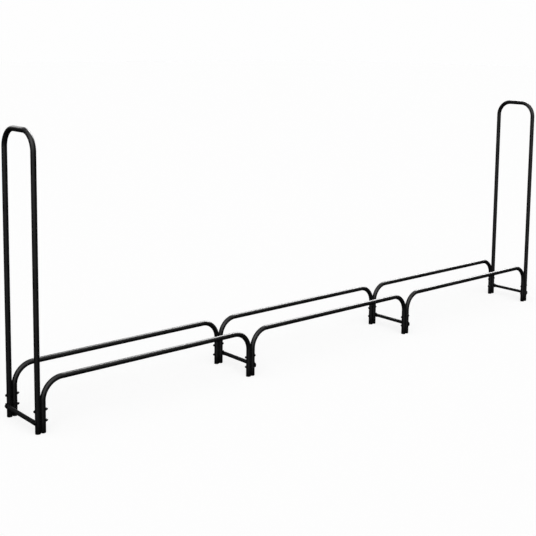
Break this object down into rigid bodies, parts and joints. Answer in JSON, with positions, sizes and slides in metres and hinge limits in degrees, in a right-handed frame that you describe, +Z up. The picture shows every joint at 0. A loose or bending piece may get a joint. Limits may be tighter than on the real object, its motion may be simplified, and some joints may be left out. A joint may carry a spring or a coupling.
{
  "type": "firewood log rack",
  "caption": "Long, low steel-tube rack for stacking firewood: bent end frames hold the log row, on parallel rows of bent bottom rails bolted leg to leg and tied by cross braces.",
  "frame": {"origin": "on the floor, at the middle of the rack's length and depth", "axes": "+Z up; +X along the length, towards the right end frame; -Y is the front row of rails"},
  "size_m": [3.6544, 0.287, 1.33],
  "materials": {
    "powder_coat": "satin black powder coat on steel tube",
    "fasteners": "black zinc, semi-gloss",
    "foot_caps": "matte black plastic"
  },
  "bodies": {
    "root": {"end_frame_left": "powder_coat", "end_frame_right": "powder_coat", "front_rail_left": "powder_coat", "front_rail_middle": "powder_coat", "front_rail_right": "powder_coat", "rear_rail_left": "powder_coat", "rear_rail_middle": "powder_coat", "rear_rail_right": "powder_coat", "cross_brace_left_end": "powder_coat", "cross_brace_left_joint": "powder_coat", "cross_brace_right_joint": "powder_coat", "cross_brace_right_end": "powder_coat", "bolt_front_left_end_lower": "fasteners", "nut_front_left_end_lower": "fasteners", "bolt_front_left_end_upper": "fasteners", "nut_front_left_end_upper": "fasteners", "foot_cap_front_left_end_a": "foot_caps", "foot_cap_front_left_end_b": "foot_caps", "bolt_rear_left_end_lower": "fasteners", "nut_rear_left_end_lower": "fasteners", "bolt_rear_left_end_upper": "fasteners", "nut_rear_left_end_upper": "fasteners", "foot_cap_rear_left_end_a": "foot_caps", "foot_cap_rear_left_end_b": "foot_caps", "bolt_front_left_joint_lower": "fasteners", "nut_front_left_joint_lower": "fasteners", "bolt_front_left_joint_upper": "fasteners", "nut_front_left_joint_upper": "fasteners", "foot_cap_front_left_joint_a": "foot_caps", "foot_cap_front_left_joint_b": "foot_caps", "bolt_rear_left_joint_lower": "fasteners", "nut_rear_left_joint_lower": "fasteners", "bolt_rear_left_joint_upper": "fasteners", "nut_rear_left_joint_upper": "fasteners", "foot_cap_rear_left_joint_a": "foot_caps", "foot_cap_rear_left_joint_b": "foot_caps", "bolt_front_right_joint_lower": "fasteners", "nut_front_right_joint_lower": "fasteners", "bolt_front_right_joint_upper": "fasteners", "nut_front_right_joint_upper": "fasteners", "foot_cap_front_right_joint_a": "foot_caps", "foot_cap_front_right_joint_b": "foot_caps", "bolt_rear_right_joint_lower": "fasteners", "nut_rear_right_joint_lower": "fasteners", "bolt_rear_right_joint_upper": "fasteners", "nut_rear_right_joint_upper": "fasteners", "foot_cap_rear_right_joint_a": "foot_caps", "foot_cap_rear_right_joint_b": "foot_caps", "bolt_front_right_end_lower": "fasteners", "nut_front_right_end_lower": "fasteners", "bolt_front_right_end_upper": "fasteners", "nut_front_right_end_upper": "fasteners", "foot_cap_front_right_end_a": "foot_caps", "foot_cap_front_right_end_b": "foot_caps", "bolt_rear_right_end_lower": "fasteners", "nut_rear_right_end_lower": "fasteners", "bolt_rear_right_end_upper": "fasteners", "nut_rear_right_end_upper": "fasteners", "foot_cap_rear_right_end_a": "foot_caps", "foot_cap_rear_right_end_b": "foot_caps"}
  },
  "joints": []
}
